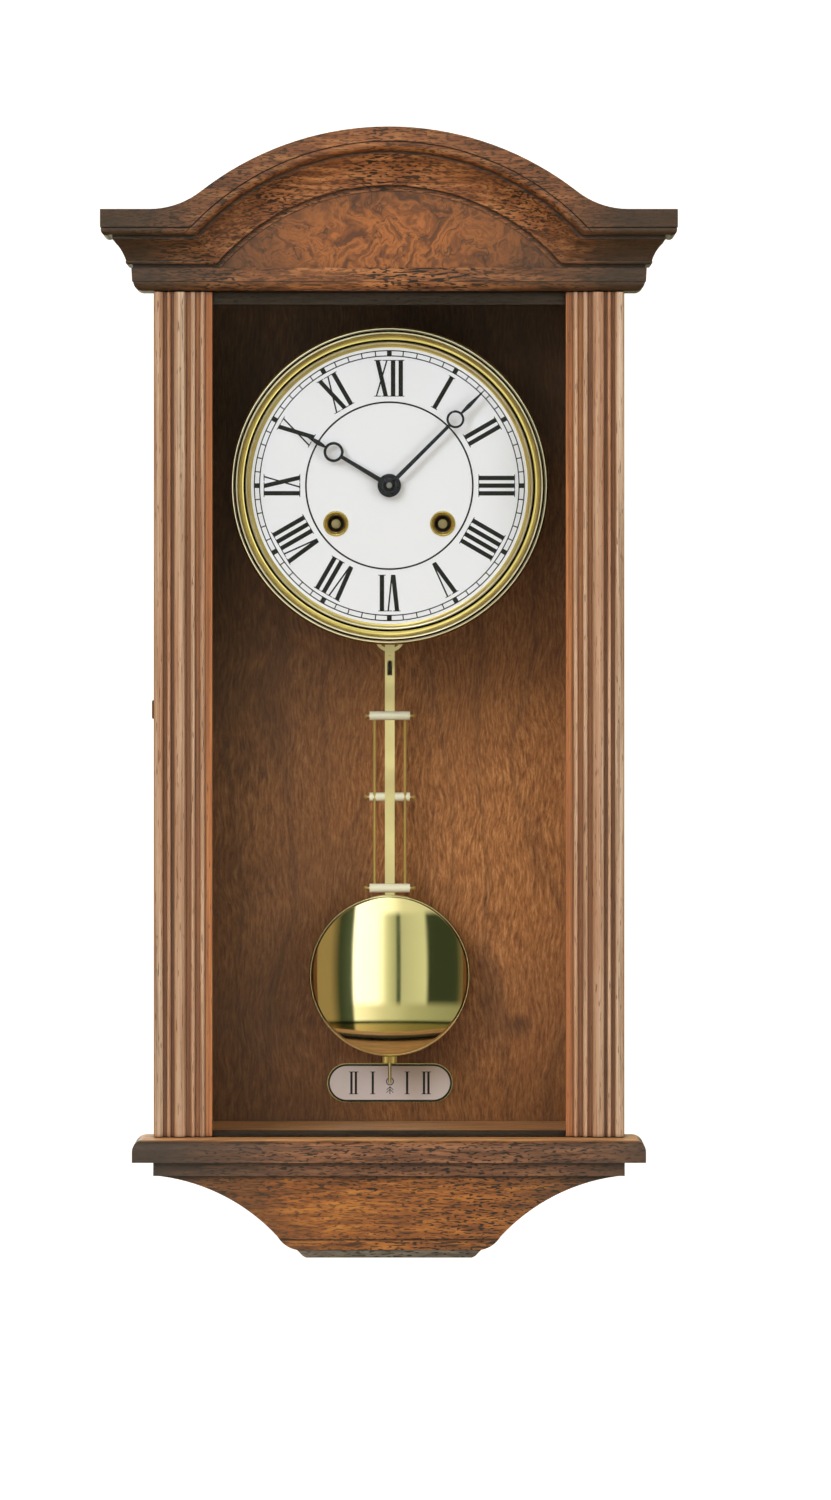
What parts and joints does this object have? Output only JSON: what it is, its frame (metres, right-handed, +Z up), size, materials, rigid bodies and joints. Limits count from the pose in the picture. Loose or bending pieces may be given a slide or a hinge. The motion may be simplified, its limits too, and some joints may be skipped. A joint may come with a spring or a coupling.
{
  "type": "wall clock",
  "caption": "Spring-wound striking wall clock in a wooden case with an arched crown, glazed front door and brass pendulum.",
  "frame": {"origin": "centre of the round hanger hole on the back plane of the case", "axes": "+Z up, -Y out of the front of the dial, +X to the right seen from the front; the wall is y = 0"},
  "size_m": [0.311, 0.16, 0.61],
  "materials": {
    "wood_case": "stained and satin lacquered",
    "wood_back": "dark stained mahogany veneer, satin",
    "burl": "burl veneer, satin lacquer",
    "wood_door": "reeded, stained and lacquered",
    "clear_glass": "clear flat pane",
    "polished_brass": "polished and lacquered",
    "movement_brass": "brushed",
    "steel": "plain",
    "iron": "as cast",
    "dial_enamel": "white, semi-gloss",
    "plaque_enamel": "pale, semi-gloss",
    "blued_steel": "blue-black, gloss"
  },
  "bodies": {
    "case": {"back_board": "wood_back", "back_plate": "movement_brass", "base_plate": "wood_case", "beat_plate": "plaque_enamel", "case_fasteners": "steel", "crown_moulding": "wood_case", "crown_returns": "wood_case", "dial_bezel": "polished_brass", "dial_plate": "dial_enamel", "door_catch": "steel", "door_pivot_pins": "polished_brass", "drop_body": "wood_case", "drop_front": "wood_case", "drop_strip": "wood_case", "frieze_rail": "wood_case", "front_plate": "movement_brass", "gong_block": "iron", "gong_coil": "steel", "movement_brackets": "steel", "movement_pillars": "movement_brass", "pillar_nuts": "steel", "side_panels": "wood_case", "suspension_cock": "movement_brass", "top_board": "wood_case", "tympanum_panel": "burl", "under_board": "wood_case", "wall_hanger": "steel", "winding_clicks": "steel", "winding_grommets": "polished_brass"},
    "door": {"door_stile_right": "wood_door", "door_stile_left": "wood_door", "door_rails": "wood_door", "door_glass": "clear_glass", "glass_beads": "wood_door", "door_pull": "polished_brass", "catch_strike": "steel"},
    "minute_work": {"centre_arbor": "movement_brass", "minute_hand": "blued_steel", "hand_nut": "blued_steel"},
    "hour_work": {"hour_wheel": "movement_brass", "hour_hand": "blued_steel"},
    "motion_wheel": {"minute_wheel": "movement_brass"},
    "third": {"third_wheel": "movement_brass"},
    "escape": {"escape_wheel": "movement_brass"},
    "going_drum": {"going_barrel": "movement_brass"},
    "strike_drum": {"strike_barrel": "movement_brass"},
    "going_key_arbor": {"going_winding_arbor": "steel"},
    "strike_key_arbor": {"strike_winding_arbor": "steel"},
    "strike_second": {"strike_second_wheel": "movement_brass"},
    "air_brake": {"fly": "movement_brass"},
    "striker": {"hammer": "movement_brass"},
    "pallets": {"anchor": "steel"},
    "pendulum": {"suspension_spring": "steel", "pendulum_leader": "polished_brass", "pendulum_rod": "polished_brass", "cross_bars": "polished_brass", "side_rods": "polished_brass"},
    "bob": {"bob_shell": "polished_brass", "bob_weight": "iron"},
    "regulator": {"rating_nut": "polished_brass"}
  },
  "joints": [
    {"name": "door_swing", "type": "hinge", "parent": "case", "child": "door", "pos_m": [0.1215, -0.128, -0.199], "axis": [0, 0, 1], "range_deg": [0, 105]},
    {"name": "minute_turn", "type": "hinge", "parent": "case", "child": "minute_work", "pos_m": [0, -0.08, -0.074], "axis": [0, 1, 0], "continuous": true},
    {"name": "hour_turn", "type": "hinge", "parent": "case", "child": "hour_work", "pos_m": [0, -0.096, -0.074], "axis": [0, 1, 0], "continuous": true},
    {"name": "motion_turn", "type": "hinge", "parent": "case", "child": "motion_wheel", "pos_m": [0.01018, -0.092, -0.08418], "axis": [0, 1, 0], "continuous": true},
    {"name": "third_turn", "type": "hinge", "parent": "case", "child": "third", "pos_m": [-0.0152, -0.07, -0.05865], "axis": [0, 1, 0], "continuous": true},
    {"name": "escape_turn", "type": "hinge", "parent": "case", "child": "escape", "pos_m": [0, -0.07, -0.04504], "axis": [0, 1, 0], "continuous": true},
    {"name": "going_drum_turn", "type": "hinge", "parent": "case", "child": "going_drum", "pos_m": [-0.0292, -0.074, -0.0948], "axis": [0, 1, 0], "continuous": true},
    {"name": "going_winding", "type": "hinge", "parent": "case", "child": "going_key_arbor", "pos_m": [-0.0292, -0.074, -0.0948], "axis": [0, 1, 0], "continuous": true},
    {"name": "strike_drum_turn", "type": "hinge", "parent": "case", "child": "strike_drum", "pos_m": [0.0292, -0.074, -0.0948], "axis": [0, 1, 0], "continuous": true},
    {"name": "strike_winding", "type": "hinge", "parent": "case", "child": "strike_key_arbor", "pos_m": [0.0292, -0.074, -0.0948], "axis": [0, 1, 0], "continuous": true},
    {"name": "strike_second_turn", "type": "hinge", "parent": "case", "child": "strike_second", "pos_m": [0.038, -0.07, -0.06005], "axis": [0, 1, 0], "continuous": true},
    {"name": "fly_turn", "type": "hinge", "parent": "case", "child": "air_brake", "pos_m": [0.0281, -0.07, -0.05015], "axis": [0, 1, 0], "continuous": true},
    {"name": "hammer_strike", "type": "hinge", "parent": "case", "child": "striker", "pos_m": [0.042, -0.06, -0.037], "axis": [0, 1, 0], "range_deg": [-4, 0], "stiffness_Nm_per_rad": 0.02},
    {"name": "pendulum_swing", "type": "hinge", "parent": "case", "child": "pendulum", "pos_m": [0, -0.036, -0.028], "axis": [0, 1, 0], "range_deg": [-4, 4]},
    {"name": "anchor_rock", "type": "hinge", "parent": "case", "child": "pallets", "pos_m": [0, -0.06, -0.028], "axis": [0, 1, 0], "range_deg": [-4, 4]},
    {"name": "bob_height", "type": "slide", "parent": "pendulum", "child": "bob", "axis": [0, 0, 1], "range_m": [-0.003, 0.0005]},
    {"name": "rating_nut_turn", "type": "hinge", "parent": "bob", "child": "regulator", "pos_m": [0, -0.036, -0.3915], "axis": [0, 0, 1], "range_deg": [-2170, 370]}
  ],
  "couplings": [
    {"joint": "hour_turn", "follows": "minute_turn", "ratio": 0.083333},
    {"joint": "motion_turn", "follows": "minute_turn", "ratio": -0.33333},
    {"joint": "third_turn", "follows": "minute_turn", "ratio": -8},
    {"joint": "escape_turn", "follows": "minute_turn", "ratio": 60},
    {"joint": "going_drum_turn", "follows": "minute_turn", "ratio": -0.2},
    {"joint": "strike_second_turn", "follows": "strike_drum_turn", "ratio": -5},
    {"joint": "fly_turn", "follows": "strike_drum_turn", "ratio": 30},
    {"joint": "anchor_rock", "follows": "pendulum_swing", "ratio": 1},
    {"joint": "rating_nut_turn", "follows": "bob_height", "rad_per_m": 12566}
  ]
}
